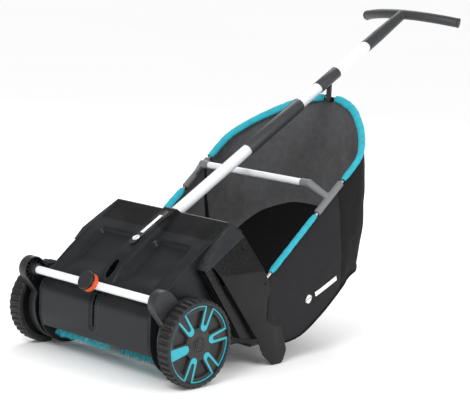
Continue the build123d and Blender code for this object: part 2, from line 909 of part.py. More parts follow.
def build_clamp_shoe():
    """Block between the cross tube and the curved slot floor, bored for the clamp bolt."""
    shoe_half = 9.0
    shoe_height = 13.0
    with BuildPart() as shoe:
        with BuildSketch(clamp_plane(-70)):
            Rectangle(2 * shoe_half, shoe_height)
        extrude(amount=70)
        with BuildSketch(side_plane(-shoe_half - 1)):
            with Locations((cross_tube_y, cross_tube_z)):
                Circle(cross_tube_r)
            with Locations((brush_y, brush_z)):
                Circle(slot_floor_r + 0.4)
        extrude(amount=2 * shoe_half + 2, mode=Mode.SUBTRACT)
        with BuildSketch(clamp_plane(-80)):
            Circle(clamp_bolt_r)
        extrude(amount=80, mode=Mode.SUBTRACT)
    return shoe


def clamp_reach(radius):
    """Distance inwards along the clamp bolt to where it comes within a radius of the brush axis."""
    away_y = brush_y - cross_tube_y
    away_z = cross_tube_z - brush_z
    along = away_y * cos(radians(clamp_rise)) + away_z * sin(radians(clamp_rise))
    aside = away_y * sin(radians(clamp_rise)) - away_z * cos(radians(clamp_rise))
    return along - (radius**2 - aside**2) ** 0.5


def build_clamp_bolt():
    """Bolt through slot, shoe and cross tube, with a thin curved washer behind the slot."""
    washer_r = slot_floor_r - slot_floor - 0.3
    washer = 1.6
    inner = clamp_reach(washer_r - washer / 2)
    with BuildPart() as bolt:
        with BuildSketch(clamp_plane(-inner - 8)):
            Rectangle(20, 14)
        extrude(amount=20)
        with BuildSketch(side_plane(-20)):
            with Locations((brush_y, brush_z)):
                Circle(washer_r + 40)
                Circle(washer_r, mode=Mode.SUBTRACT)
        extrude(amount=40, mode=Mode.SUBTRACT)
        with BuildSketch(side_plane(-20)):
            with Locations((brush_y, brush_z)):
                Circle(washer_r - washer)
        extrude(amount=40, mode=Mode.SUBTRACT)
        with BuildSketch(clamp_plane(-inner)):
            Circle(clamp_bolt_r)
        extrude(amount=inner + cross_tube_r + 20)
    return bolt


# ---------------------------------------------------------------- knob
def build_knob_ring():
    """Knurled orange body of the clamp knob."""
    start = cross_tube_r + knob_gap
    grooves = 24
    groove_r = 1.6
    with BuildPart() as ring:
        with BuildSketch(clamp_plane(start)):
            Circle(knob_r - 1)
            with PolarLocations(knob_r - 0.4, grooves):
                Circle(groove_r, mode=Mode.SUBTRACT)
            Circle(clamp_bolt_r + run_fit, mode=Mode.SUBTRACT)
        extrude(amount=knob_ring_depth)
    return ring


def build_knob_cap():
    """Plain round cap over the knob's face."""
    start = knob_reach - knob_cap_depth
    with BuildPart() as cap:
        with BuildSketch(clamp_plane(start)):
            Circle(knob_r)
        extrude(amount=knob_cap_depth)
        fillet(cap.edges().filter_by(GeomType.CIRCLE).sort_by(Axis.Y)[0], knob_edge_r)
        with BuildSketch(clamp_plane(start)):
            Circle(clamp_bolt_r + run_fit)
        extrude(amount=6.5, mode=Mode.SUBTRACT)
    return cap


# ---------------------------------------------------------------- wheels
def wheel_sketch_plane(x):
    return Plane(origin=(x, axle_y, wheel_r), x_dir=(0, 1, 0), z_dir=(1, 0, 0))


def tongue_sketch(end_r, round_r, edge_half):
    """Flat drawing of the six tongues about the wheel's centre."""
    with BuildSketch() as tongue:
        with BuildLine():
            Polyline(
                (end_r, round_r), (rim_r + 8, edge_half), (rim_r + 8, -edge_half),
                (end_r, -round_r), (end_r, round_r),
            )
        make_face()
        with Locations((end_r, 0)):
            Circle(round_r)
    with BuildSketch() as tongues:
        with PolarLocations(0, spoke_count, start_angle=filled_spoke_angle):
            add(tongue.sketch)
    return tongue.sketch, tongues.sketch


def build_wheel_disc():
    """Moulded wheel centre: rim, web, six pressed windows and the hub."""
    tongue, tongues = tongue_sketch(*tongue_outer)
    with BuildSketch() as windows:
        Circle(trim_r - trim_line - 5)
        Circle(36, mode=Mode.SUBTRACT)
        add(tongues, mode=Mode.SUBTRACT)
        offset(amount=-3.5, mode=Mode.REPLACE)
    with BuildPart() as disc:
        with BuildSketch(wheel_sketch_plane(wheel_inner_x + 1)):
            Circle(rim_r)
            Circle(rim_r - 4, mode=Mode.SUBTRACT)
        extrude(amount=face_x - wheel_inner_x - 1)
        with BuildSketch(wheel_sketch_plane(face_x - wheel_web)):
            Circle(rim_r)
        extrude(amount=wheel_web)
        with BuildSketch(wheel_sketch_plane(gear_x + gear_face)):
            Circle(hub_r)
        extrude(amount=face_x - gear_x - gear_face)
        with BuildSketch(wheel_sketch_plane(face_x - window_depth)):
            add(windows.sketch)
        extrude(amount=window_depth, mode=Mode.SUBTRACT)
        with BuildSketch(wheel_sketch_plane(face_x - hub_groove)):
            Circle(hub_groove_r)
            Circle(hub_groove_r - hub_groove, mode=Mode.SUBTRACT)
        extrude(amount=hub_groove, mode=Mode.SUBTRACT)
        with BuildSketch(wheel_sketch_plane(wheel_inner_x)):
            Circle(stub_r + run_fit)
        extrude(amount=wheel_width, mode=Mode.SUBTRACT)
    return disc


def build_wheel_trim():
    """Raised coloured line round the tongues, one tongue filled."""
    tongue, outer = tongue_sketch(*tongue_outer)
    slim, inner = tongue_sketch(*tongue_inner)
    with BuildPart() as trim:
        with BuildSketch(wheel_sketch_plane(face_x)):
            Circle(trim_r)
            add(inner, mode=Mode.SUBTRACT)
            with PolarLocations(0, 1, start_angle=filled_spoke_angle):
                add(slim)
            Circle(trim_r + 20, mode=Mode.INTERSECT)
        extrude(amount=trim_rise)
        with BuildSketch() as cut:
            Circle(trim_r - trim_line)
            add(outer, mode=Mode.SUBTRACT)
        with BuildSketch(wheel_sketch_plane(face_x)):
            add(cut.sketch)
        extrude(amount=trim_rise, mode=Mode.SUBTRACT)
        with BuildSketch(wheel_sketch_plane(face_x)):
            Circle(trim_r)
        extrude(amount=trim_rise, mode=Mode.INTERSECT)
    return trim


def build_tyre():
    """Hard tyre with rounded shoulders."""
    with BuildPart() as tyre:
        with BuildSketch(wheel_sketch_plane(wheel_inner_x)):
            Circle(wheel_r)
        extrude(amount=wheel_width)
        fillet(tyre.edges(), 4)
        with BuildSketch(wheel_sketch_plane(wheel_inner_x)):
            Circle(rim_r)
        extrude(amount=wheel_width, mode=Mode.SUBTRACT)
    return tyre


def gear_mesh_angle():
    """Direction from the wheel's centre to the brush axis, in the side view."""
    return degrees(atan2(brush_rise, brush_y))


def draw_tooth(base_r, tip_r, base_half, tip_half):
    """One straight-sided gear tooth pointing along +X."""
    Polygon((base_r, base_half), (tip_r, tip_half), (tip_r, -tip_half), (base_r, -base_half), align=None)


def build_ring_gear():
    """Internal gear on the wheel's inner side."""
    pitch_r = gear_module * ring_teeth / 2
    root_r = pitch_r + 1.3 * gear_module
    outer_r = root_r + 3.5
    tip_r = pitch_r - 0.8 * gear_module
    step = 360.0 / ring_teeth
    with BuildPart() as gear:
        with BuildSketch(wheel_sketch_plane(gear_x)):
            Circle(outer_r)
            Circle(root_r, mode=Mode.SUBTRACT)
            with PolarLocations(0, ring_teeth, start_angle=gear_mesh_angle() + step / 2):
                draw_tooth(root_r + 0.5, tip_r, 1.9, 0.75)
        extrude(amount=gear_face)
        with BuildSketch(wheel_sketch_plane(gear_x + gear_face)):
            Circle(outer_r)
            Circle(hub_r, mode=Mode.SUBTRACT)
        extrude(amount=face_x - wheel_web - gear_x - gear_face)
    return gear


def build_hub_cap():
    """Snap cap over the stub axle's end."""
    with BuildPart() as cap:
        with BuildSketch(wheel_sketch_plane(face_x)):
            Circle(hub_r - 2)
        extrude(amount=3)
        with BuildSketch(wheel_sketch_plane(face_x + 1.5)):
            Circle(hub_r - 5)
            Circle(hub_r - 6.5, mode=Mode.SUBTRACT)
        extrude(amount=2, mode=Mode.SUBTRACT)
    return cap


# ---------------------------------------------------------------- brush and its drive
def brush_plane(x):
    return Plane(origin=(x, axle_y + brush_y, brush_z), x_dir=(0, 1, 0), z_dir=(1, 0, 0))


def build_pinion():
    """Small gear on the brush shaft, with a round pocket for the drive key."""
    pitch_r = gear_module * pinion_teeth / 2
    root_r = pitch_r - 1.3 * gear_module
    tip_r = pitch_r + 0.8 * gear_module
    with BuildPart() as pinion:
        with BuildSketch(brush_plane(pinion_inner_x)):
            Circle(root_r)
            with PolarLocations(0, pinion_teeth, start_angle=gear_mesh_angle()):
                draw_tooth(root_r - 1.0, tip_r, 1.9, 0.75)
        extrude(amount=pinion_face)
        with BuildSketch(brush_plane(pinion_inner_x)):
            Circle(brush_shaft_r + run_fit)
        extrude(amount=pinion_face, mode=Mode.SUBTRACT)
    return pinion


def build_shaft():
    half = pinion_inner_x + pinion_face + 2
    return tube(brush_plane(-half), brush_shaft_r, 0, 2 * half)


def build_core():
    half = housing_half - 4
    return tube(brush_plane(-half), brush_core_r, brush_shaft_r, 2 * half)


def build_bristles(start, end, phase):
    """Rows of bristles standing on the core over part of its width."""
    with BuildPart() as rows:
        with BuildSketch(brush_plane(start)):
            with PolarLocations(0, brush_rows, start_angle=phase):
                Polygon(
                    (brush_core_r - 2, -bristle_slab / 2), (brush_r - 0.3, -bristle_slab / 2),
                    (brush_r - 0.3, bristle_slab / 2), (brush_core_r - 2, bristle_slab / 2),
                    align=None,
                )
            Circle(brush_r, mode=Mode.INTERSECT)
            Circle(brush_core_r, mode=Mode.SUBTRACT)
        extrude(amount=end - start)
    return rows


def build_shaft_clips():
    """Spring clips outside the pinions."""
    start = pinion_inner_x + pinion_face + 0.2
    clip = tube(brush_plane(start), brush_shaft_r + 1.6, brush_shaft_r, 1)
    return joined(clip, left_copy(clip))


# ---------------------------------------------------------------- assembly
def build_all():
    paired = {
        "end_plate": build_end_plate(),
        "brush_bush": build_bush(),
        "shoulder": build_shoulder(),
        "panel_column": build_column(),
        "side_panel": build_side_panel(),
        "hoop_sleeve": build_hoop_sleeve(),
        "rod_sleeve": build_rod_sleeve(),
        "bag_tee": build_tee(),
        "wheel_arm": build_arm(),
        "wheel_disc": build_wheel_disc(),
        "wheel_trim": build_wheel_trim(),
        "tyre": build_tyre(),
        "ring_gear": build_ring_gear(),
        "hub_cap": build_hub_cap(),
        "pinion": build_pinion(),
    }
    pieces = {}
    for name, piece in paired.items():
        pieces["right_" + name] = piece
        pieces["left_" + name] = left_copy(piece)
    for name, build in (("rod_sockets", build_rod_socket), ("stub_axles", build_stub_axle),
                        ("panel_screws", build_screws)):
        right = build()
        pieces[name] = joined(right, left_copy(right))
    pieces["hood_shell"] = build_hood()
    pieces["label_plate"] = build_label_plate()
    pieces["throat_ramp"] = build_throat_ramp()
    pieces["handle_socket"] = build_socket()
    pieces["lower_tube"] = build_lower_tube()
    pieces["upper_tube"] = build_upper_tube()
    pieces["tube_sleeve"] = tube(
        handle_plane(sleeve_start), handle_r + 3, handle_r, sleeve_end - sleeve_start
    )
    pieces["clip_sleeve"] = tube(handle_plane(clip_start), handle_r + 1.5, handle_r, clip_end - clip_start)
    pieces["handle_grip"] = build_handle_stem()
    pieces["grip_caps"] = build_grip_caps()
    pieces["bag_hook"] = build_hook()
    pieces["bag_hoop"] = build_hoop()
    pieces["bag_tube"] = build_bag_tube()
    pieces["grass_bag"] = build_bag()
    pieces["cross_tube"] = build_cross_tube()
    pieces["clamp_shoe"] = build_clamp_shoe()
    pieces["clamp_bolt"] = build_clamp_bolt()
    pieces["knob_ring"] = build_knob_ring()
    pieces["knob_cap"] = build_knob_cap()
    pieces["brush_shaft"] = build_shaft()
    pieces["brush_core"] = build_core()
    pieces["right_bristles"] = build_bristles(2, housing_half - 6, -90)
    pieces["left_bristles"] = build_bristles(-housing_half + 6, -2, -90 + 180 / brush_rows)
    pieces["shaft_clips"] = build_shaft_clips()
    return pieces


os.makedirs("parts", exist_ok=True)
for node, sub_part in build_all().items():
    sub_part.part.label = node
    export_step(sub_part.part, "parts/" + node + ".step")
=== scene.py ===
"""Looks of the push lawn sweeper: finishes, softened mouldings, cloth bag, bristles and tyres."""

import json
import math
import random

import bmesh
import bpy
from mathutils import Matrix, Vector, noise
from mathutils.bvhtree import BVHTree


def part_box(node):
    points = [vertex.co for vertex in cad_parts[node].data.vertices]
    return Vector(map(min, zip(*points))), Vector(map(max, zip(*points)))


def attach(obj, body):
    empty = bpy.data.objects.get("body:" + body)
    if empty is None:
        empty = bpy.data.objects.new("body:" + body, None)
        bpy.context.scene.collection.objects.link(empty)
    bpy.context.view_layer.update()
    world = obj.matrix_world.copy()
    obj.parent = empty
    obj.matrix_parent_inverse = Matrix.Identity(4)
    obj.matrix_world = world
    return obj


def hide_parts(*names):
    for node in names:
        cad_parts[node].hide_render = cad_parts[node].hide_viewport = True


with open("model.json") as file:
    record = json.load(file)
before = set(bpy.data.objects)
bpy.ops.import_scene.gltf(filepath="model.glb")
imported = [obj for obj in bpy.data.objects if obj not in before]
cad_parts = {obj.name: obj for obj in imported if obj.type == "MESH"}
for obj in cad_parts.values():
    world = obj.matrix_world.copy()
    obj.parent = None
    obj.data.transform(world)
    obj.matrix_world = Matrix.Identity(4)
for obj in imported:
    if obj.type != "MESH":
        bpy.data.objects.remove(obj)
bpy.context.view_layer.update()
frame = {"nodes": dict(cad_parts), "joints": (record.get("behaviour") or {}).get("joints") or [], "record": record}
nodes = frame["nodes"]
MM = 0.001
SIDES = (("right", 1), ("left", -1))


# ---------------------------------------------------------------- places taken from the frame
def middle(node):
    low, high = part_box(node)
    return (low + high) / 2


def joint(name):
    return next(j for j in frame["joints"] if j["name"] == name)


def side_nodes(name):
    return ["right_" + name, "left_" + name]


axle = middle("right_tyre")
brush_axis = middle("brush_core")
rod_dir = Vector(joint("bag_slide")["axis"]).normalized()
rod_up = Vector((0, -rod_dir.z, rod_dir.y))

# Side view sizes in millimetres and degrees, with y measured from the wheel axle.
AXLE_Z = 105
BRUSH_Y, BRUSH_Z = 21.8, 108
DRUM_R = 100
ROD_Y, ROD_Z, ROD_TILT = 284, 234, 39.8
HANDLE_TILT = 29.9


# ---------------------------------------------------------------- camera, floor and light
def aim(azimuth, elevation, roll, target, distance):
    """Camera rotation and place for a view; azimuth 0 looks along +Y."""
    a = math.radians(azimuth)
    e = math.radians(elevation)
    back = Vector((math.sin(a) * math.cos(e), -math.cos(a) * math.cos(e), math.sin(e)))
    turn = (-back).to_track_quat("-Z", "Y") @ Matrix.Rotation(math.radians(roll), 3, "Z").to_quaternion()
    return target + back * distance, turn


def make_camera():
    """Long lens from the front right, slightly above and slightly rolled."""
    data = bpy.data.cameras.new("camera")
    data.lens = 128.3
    camera = bpy.data.objects.new("camera", data)
    bpy.context.scene.collection.objects.link(camera)
    target = Vector((0, axle.y + 0.3944, 0.3704))
    azimuth, elevation, roll, distance = 44.45, 9.23, 2.48, 4.331
    camera.rotation_mode = "QUATERNION"
    camera.location, camera.rotation_quaternion = aim(azimuth, elevation, roll, target, distance)
    data.clip_end = 100
    bpy.context.scene.camera = camera


def area_light(name, location, target, size, power, colour=(1, 1, 1)):
    data = bpy.data.lights.new(name, "AREA")
    data.shape = "RECTANGLE"
    data.size, data.size_y = size
    data.energy = power
    data.color = colour
    lamp = bpy.data.objects.new(name, data)
    bpy.context.scene.collection.objects.link(lamp)
    lamp.location = location
    lamp.rotation_mode = "QUATERNION"
    lamp.rotation_quaternion = (Vector(target) - Vector(location)).to_track_quat("-Z", "Y")


def make_studio():
    """White surroundings, dimmer in reflections, with three soft lamps and a pale floor."""
    world = bpy.data.worlds.new("studio")
    world.use_nodes = True
    tree = Tree(world.node_tree)
    background = world.node_tree.nodes["Background"]
    background.inputs["Color"].default_value = (1, 1, 1, 1)
    path = tree.node("ShaderNodeLightPath")
    diffuse = tree.ramp(path.outputs["Is Glossy Ray"], 0.0, 1.0, 1.0, 0.36)
    seen = tree.ramp(path.outputs["Is Camera Ray"], 0.0, 1.0, 0.0, 0.3)
    tree.link(tree.math("ADD", diffuse, seen), background.inputs["Strength"])
    bpy.context.scene.world = world
    bpy.context.scene.view_settings.view_transform = "Standard"
    centre = middle("hood_shell")
    area_light("key_light", centre + Vector((1.2, -2.6, 2.6)), centre, (1.6, 1.2), 60)
    area_light("side_light", centre + Vector((3.4, 0.6, 1.4)), centre, (1.4, 2.0), 32)
    area_light("back_light", centre + Vector((-2.2, 2.6, 2.8)), centre, (2.4, 1.6), 50)
    bpy.ops.mesh.primitive_plane_add(size=60, location=(0, 0, -0.0005))
    floor = bpy.context.active_object
    floor.name = "studio_floor"
    floor.data.materials.append(make_floor_material())


# ---------------------------------------------------------------- shared shader groups
class Tree:
    """Short calls for building a shader tree."""

    def __init__(self, tree):
        self.tree = tree

    def node(self, kind, **settings):
        made = self.tree.nodes.new(kind)
        for key, value in settings.items():
            setattr(made, key, value)
        return made

    def link(self, source, target):
        self.tree.links.new(source, target)

    def noise(self, vector, scale, detail=3.0, rough=0.55):
        made = self.node("ShaderNodeTexNoise")
        made.inputs["Scale"].default_value = scale
        made.inputs["Detail"].default_value = detail
        made.inputs["Roughness"].default_value = rough
        if vector is not None:
            self.link(vector, made.inputs["Vector"])
        return made.outputs["Fac"]

    def math(self, operation, first, second=0.0, clamp=False):
        made = self.node("ShaderNodeMath", operation=operation, use_clamp=clamp)
        for socket, value in zip(made.inputs, (first, second)):
            if isinstance(value, (int, float)):
                socket.default_value = value
            else:
                self.link(value, socket)
        return made.outputs[0]

    def scale(self, colour, factor):
        made = self.node("ShaderNodeVectorMath", operation="SCALE")
        self.link(colour, made.inputs[0])
        self.link(factor, made.inputs["Scale"])
        return made.outputs[0]

    def ramp(self, value, low, high, to_low=0.0, to_high=1.0):
        made = self.node("ShaderNodeMapRange")
        self.link(value, made.inputs["Value"])
        keys = ("From Min", "From Max", "To Min", "To Max")
        for key, number in zip(keys, (low, high, to_low, to_high)):
            made.inputs[key].default_value = number
        return made.outputs["Result"]

    def mix(self, factor, first, second):
        made = self.node("ShaderNodeMix", data_type="RGBA")
        for key, value in (("Factor", factor), ("A", first), ("B", second)):
            socket = next(s for s in made.inputs if s.name == key and s.enabled)
            if isinstance(value, (tuple, float, int)):
                socket.default_value = value
            else:
                self.link(value, socket)
        return next(s for s in made.outputs if s.enabled)


def new_group(name, inputs, outputs):
    """A shader group with named sockets; inputs are (name, kind, default)."""
    group = bpy.data.node_groups.new(name, "ShaderNodeTree")
    for socket, kind, default in inputs:
        made = group.interface.new_socket(socket, in_out="INPUT", socket_type=kind)
        made.default_value = default
    for socket, kind in outputs:
        group.interface.new_socket(socket, in_out="OUTPUT", socket_type=kind)
    tree = Tree(group)
    return group, tree, tree.node("NodeGroupInput"), tree.node("NodeGroupOutput")


FLOAT, COLOUR = "NodeSocketFloat", "NodeSocketColor"


def make_plastic_group():
    """Moulded plastic: faint cloudy tone, spark-eroded grain, rubbed edges and a little dust on top."""
    group, tree, given, result = new_group(
        "moulded_plastic",
        (("Colour", COLOUR, (0.05, 0.05, 0.05, 1)), ("Grain", FLOAT, 900.0), ("Roughness", FLOAT, 0.4),
         ("Wear", FLOAT, 0.3), ("Dust", FLOAT, 0.1)),
        (("Colour", COLOUR), ("Roughness", FLOAT), ("Height", FLOAT)),
    )
    place = tree.node("ShaderNodeTexCoord").outputs["Object"]
    geometry = tree.node("ShaderNodeNewGeometry")
    cloud = tree.noise(place, 14, 4)
    fine = tree.node("ShaderNodeTexNoise")
    tree.link(place, fine.inputs["Vector"])
    tree.link(given.outputs["Grain"], fine.inputs["Scale"])
    edge = tree.ramp(geometry.outputs["Pointiness"], 0.515, 0.58)
    scratches = tree.ramp(tree.noise(place, 160, 5, 0.7), 0.45, 0.65)
    worn = tree.math("MULTIPLY", tree.math("MULTIPLY", edge, scratches), given.outputs["Wear"])
    up = tree.node("ShaderNodeSeparateXYZ")
    tree.link(geometry.outputs["Normal"], up.inputs[0])
    settled = tree.math("MULTIPLY", tree.ramp(up.outputs["Z"], 0.4, 1.0), tree.ramp(cloud, 0.35, 0.7))
    dusty = tree.math("MULTIPLY", settled, given.outputs["Dust"])
    cloudy = tree.ramp(cloud, 0.3, 0.7, 0.0, 0.04)
    toned = tree.mix(cloudy, given.outputs["Colour"], (0.12, 0.125, 0.13, 1))
    rubbed = tree.mix(worn, toned, (0.22, 0.22, 0.22, 1))
    final = tree.mix(dusty, rubbed, (0.2, 0.19, 0.17, 1))
    tree.link(final, result.inputs["Colour"])
    rough = tree.math("ADD", given.outputs["Roughness"], tree.ramp(cloud, 0.3, 0.7, -0.04, 0.06))
    tree.link(tree.math("ADD", rough, dusty, clamp=True), result.inputs["Roughness"])
    tree.link(fine.outputs["Fac"], result.inputs["Height"])
    return group


def make_weave_group():
    """Plain woven cloth: over and under threads, faint slubs and shading between threads."""
    group, tree, given, result = new_group(
        "plain_weave",
        (("Colour", COLOUR, (0.05, 0.05, 0.05, 1)), ("Threads", FLOAT, 900.0),
         ("Contrast", FLOAT, 0.35)),
        (("Colour", COLOUR), ("Roughness", FLOAT), ("Height", FLOAT)),
    )
    place = tree.node("ShaderNodeTexCoord").outputs["Object"]
    axes = tree.node("ShaderNodeSeparateXYZ")
    tree.link(place, axes.inputs[0])
    level = tree.math("ADD", axes.outputs["X"], tree.math("MULTIPLY", axes.outputs["Y"], 0.83))
    warp = tree.math("SINE", tree.math("MULTIPLY", level, given.outputs["Threads"]))
    weft = tree.math("SINE", tree.math("MULTIPLY", axes.outputs["Z"], given.outputs["Threads"]))
    cross = tree.math("MULTIPLY", warp, weft)
    slub = tree.noise(place, 60, 4, 0.65)
    broad = tree.noise(place, 7, 3)
    height = tree.math("ADD", tree.math("MULTIPLY", cross, 0.5), slub)
    shade = tree.math("MULTIPLY", tree.ramp(cross, -1, 1, 0.0, 1.0), given.outputs["Contrast"])
    slubbed = tree.ramp(slub, 0.3, 0.7, 0.88, 1.2)
    uneven = tree.math("MULTIPLY", slubbed, tree.ramp(broad, 0.3, 0.7, 0.93, 1.08))
    factor = tree.math("MULTIPLY", uneven, tree.math("SUBTRACT", 1.0, shade))
    final = tree.scale(given.outputs["Colour"], factor)
    tree.link(final, result.inputs["Colour"])
    tree.link(tree.ramp(slub, 0.3, 0.7, 0.7, 0.9), result.inputs["Roughness"])
    tree.link(height, result.inputs["Height"])
    return group


GROUPS = {"plastic": make_plastic_group(), "weave": make_weave_group()}


def start_material(name):
    material = bpy.data.materials.new(name)
    material.use_nodes = True
    tree = Tree(material.node_tree)
    shader = material.node_tree.nodes["Principled BSDF"]
    return material, tree, shader


def grouped_material(name, group, values, bump, distance, **shader_values):
    """A material whose colour, roughness and height come from a shared group."""
    material, tree, shader = start_material(name)
    made = tree.node("ShaderNodeGroup", node_tree=GROUPS[group])
    for key, value in values.items():
        made.inputs[key].default_value = value
    tree.link(made.outputs["Colour"], shader.inputs["Base Color"])
    tree.link(made.outputs["Roughness"], shader.inputs["Roughness"])
    relief = tree.node("ShaderNodeBump")
    relief.inputs["Strength"].default_value = bump
    relief.inputs["Distance"].default_value = distance
    tree.link(made.outputs["Height"], relief.inputs["Height"])
    tree.link(relief.outputs["Normal"], shader.inputs["Normal"])
    for key, value in shader_values.items():
        shader.inputs[key.replace("_", " ").title().replace("Ior", "IOR")].default_value = value
    return material


def plastic(name, colour, roughness=0.4, grain=2600.0, wear=0.12, dust=0.02, bump=0.04, **shader_values):
    values = {"Colour": (*colour, 1), "Grain": grain, "Roughness": roughness, "Wear": wear, "Dust": dust}
    return grouped_material(name, "plastic", values, bump, 0.0004, **shader_values)


def cloth(name, colour, threads=1400.0, contrast=0.35, bump=0.35, **shader_values):
    values = {"Colour": (*colour, 1), "Threads": threads, "Contrast": contrast}
    return grouped_material(name, "weave", values, bump, 0.0006, **shader_values)


def make_floor_material():
    material, tree, shader = start_material("pale_floor")
    place = tree.node("ShaderNodeTexCoord").outputs["Object"]
    patches = tree.ramp(tree.noise(place, 0.6, 2), 0.3, 0.7)
    tone = tree.mix(patches, (0.96, 0.96, 0.96, 1), (0.97, 0.97, 0.97, 1))
    tree.link(tone, shader.inputs["Base Color"])
    shader.inputs["Roughness"].default_value = 0.9
    shader.inputs["Specular IOR Level"].default_value = 0.0
    return material


def metal(name, colour, roughness, streak):
    """Drawn tube or rod: fine streaks and small variation in gloss."""
    material, tree, shader = start_material(name)
    place = tree.node("ShaderNodeTexCoord").outputs["Object"]
    scaled = tree.node("ShaderNodeMapping")
    scaled.inputs["Scale"].default_value = (1.0, 0.12, 0.12)
    tree.link(place, scaled.inputs["Vector"])
    lines = tree.noise(scaled.outputs["Vector"], 900, 3)
    cloud = tree.noise(place, 20, 3)
    shaded = (*(c * 0.86 for c in colour), 1)
    tone = tree.mix(tree.ramp(cloud, 0.3, 0.7, 0.0, 0.25), (*colour, 1), shaded)
    tree.link(tone, shader.inputs["Base Color"])
    tree.link(tree.ramp(lines, 0.3, 0.7, roughness - 0.05, roughness + 0.08), shader.inputs["Roughness"])
    relief = tree.node("ShaderNodeBump")
    relief.inputs["Strength"].default_value = streak
    relief.inputs["Distance"].default_value = 0.0002
    tree.link(lines, relief.inputs["Height"])
    tree.link(relief.outputs["Normal"], shader.inputs["Normal"])
    return material, shader


def make_steel():
    material, shader = metal("bright_steel", (0.55, 0.55, 0.57), 0.3, 0.1)
    shader.inputs["Metallic"].default_value = 1.0
    return material


def make_white_tube():
    material, shader = metal("white_tube", (0.72, 0.73, 0.75), 0.3, 0.03)
    shader.inputs["Coat Weight"].default_value = 0.3
    return material


def make_bush_metal():
    material, shader = metal("sintered_bronze", (0.5, 0.34, 0.17), 0.45, 0.2)
    shader.inputs["Metallic"].default_value = 1.0
    return material


TEAL = (0.015, 0.36, 0.45)
FINISH = {
    "housing": plastic("housing_plastic", (0.0065, 0.0075, 0.009), 0.38, specular_ior_level=0.28),
    "panel": plastic("panel_plastic", (0.0025, 0.0025, 0.003), 0.32, specular_ior_level=0.22),
    # Shoulders: a lighter, bluer copy of the housing plastic, a painted sheen for the light caught by the leaning
    # side facets.
    "shoulder": plastic("shoulder_painted_sheen", (0.012, 0.0145, 0.017), 0.34, specular_ior_level=0.4),
    "badge": plastic("badge_plastic", (0.02, 0.021, 0.023), 0.45, specular_ior_level=0.35),
    "frame_plastic": plastic("frame_plastic", (0.016, 0.0165, 0.018), 0.42, specular_ior_level=0.4),
    "grip_plastic": plastic("grip_plastic", (0.035, 0.036, 0.038), 0.45, specular_ior_level=0.4),
    "white_tube": make_white_tube(),
    "teal_cloth": cloth("teal_cloth", TEAL, 2600.0, 0.12, 0.25),
    "bag_cloth": cloth("bag_cloth", (0.016, 0.0155, 0.0175), 1700.0, 0.3, 0.35, specular_ior_level=0.25),
    "bag_back": cloth("bag_back", (0.009, 0.009, 0.01), 1700.0, 0.3, 0.35, specular_ior_level=0.2),
    "bag_lining": cloth("bag_lining", (0.11, 0.11, 0.114), 1500.0, 0.35, 0.4, specular_ior_level=0.2),
    "bag_binding": cloth("bag_binding", (0.006, 0.006, 0.007), 2400.0, 0.3, 0.3, specular_ior_level=0.2),
    "tee_grey": plastic("tee_plastic", (0.15, 0.156, 0.162), 0.42),
    "tyre_black": plastic("tyre_rubber", (0.014, 0.014, 0.015), 0.55, 1800.0, 0.1, 0.05, 0.08,
                          specular_ior_level=0.35),
    "wheel_grey": plastic("wheel_plastic", (0.019, 0.0185, 0.019), 0.44, specular_ior_level=0.4),
    "teal_trim": plastic("teal_plastic", (0.015, 0.36, 0.44), 0.35, wear=0.0, dust=0.0),
    "knob_orange": plastic("orange_plastic", (0.78, 0.1, 0.02), 0.42, wear=0.05, dust=0.0),
    "steel": make_steel(),
    "bristle": plastic("bristle_nylon", (0.03, 0.5, 0.6), 0.35, wear=0.0, dust=0.0),
    "bronze_bush": make_bush_metal(),
    "white_print": plastic("white_print", (0.8, 0.8, 0.8), 0.5, wear=0.0, dust=0.0),
    # Near-black for painted shade: the sheet seen through the clamp slit and the tyre pockets.
    "painted_shade_black": plastic("painted_shade_black", (0.002, 0.002, 0.002), 0.9, wear=0.0, dust=0.0),
}


def finish_frame():
    """Gives every CAD node the finish of its slot."""
    slot_of = {s["node"]: s["material_slot"] for s in frame["record"]["subparts"]}
    for name, obj in nodes.items():
        obj.data.materials.clear()
        obj.data.materials.append(FINISH["panel" if name == "panel_screws" else slot_of[name]])
        for face in obj.data.polygons:
            face.use_smooth = True


# ---------------------------------------------------------------- mesh helpers
def mesh_object(name, verts, faces, materials, smooth=True):
    mesh = bpy.data.meshes.new(name)
    mesh.from_pydata([tuple(v) for v in verts], [], faces)
    mesh.validate()
    mesh.update()
    for material in materials:
        mesh.materials.append(material)
    for face in mesh.polygons:
        face.use_smooth = smooth
    obj = bpy.data.objects.new(name, mesh)
    bpy.context.scene.collection.objects.link(obj)
    return obj


def softened(node, width, segments=3, angle=28, slot=None):
    """A copy of a CAD node with its sharp edges rounded, which stands for the node."""
    source = nodes[node]
    obj = bpy.data.objects.new(node + "_moulded", source.data.copy())
    bpy.context.scene.collection.objects.link(obj)
    work = bmesh.new()
    work.from_mesh(obj.data)
    bmesh.ops.remove_doubles(work, verts=work.verts, dist=1e-6)
    bmesh.ops.dissolve_limit(work, angle_limit=math.radians(0.5), verts=work.verts, edges=work.edges)
    work.to_mesh(obj.data)
    work.free()
    for face in obj.data.polygons:
        face.use_smooth = True
    bevel = obj.modifiers.new("rounded_edges", "BEVEL")
    bevel.width = width
    bevel.segments = segments
    bevel.limit_method = "ANGLE"
    bevel.angle_limit = math.radians(angle)
    bevel.use_clamp_overlap = True
    bevel.harden_normals = True
    if slot:
        obj.data.materials.clear()
        obj.data.materials.append(FINISH[slot])
    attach(obj, source_body(node))
    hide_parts(node)
    return obj


# ---------------------------------------------------------------- small geometry helpers
def spot(x, y, z):
    """A point in metres from millimetres, with y measured from the wheel axle."""
    return Vector((x * MM, axle.y + y * MM, z * MM))


def smooth(low, high, value):
    t = min(1.0, max(0.0, (value - low) / (high - low)))
    return t * t * (3 - 2 * t)


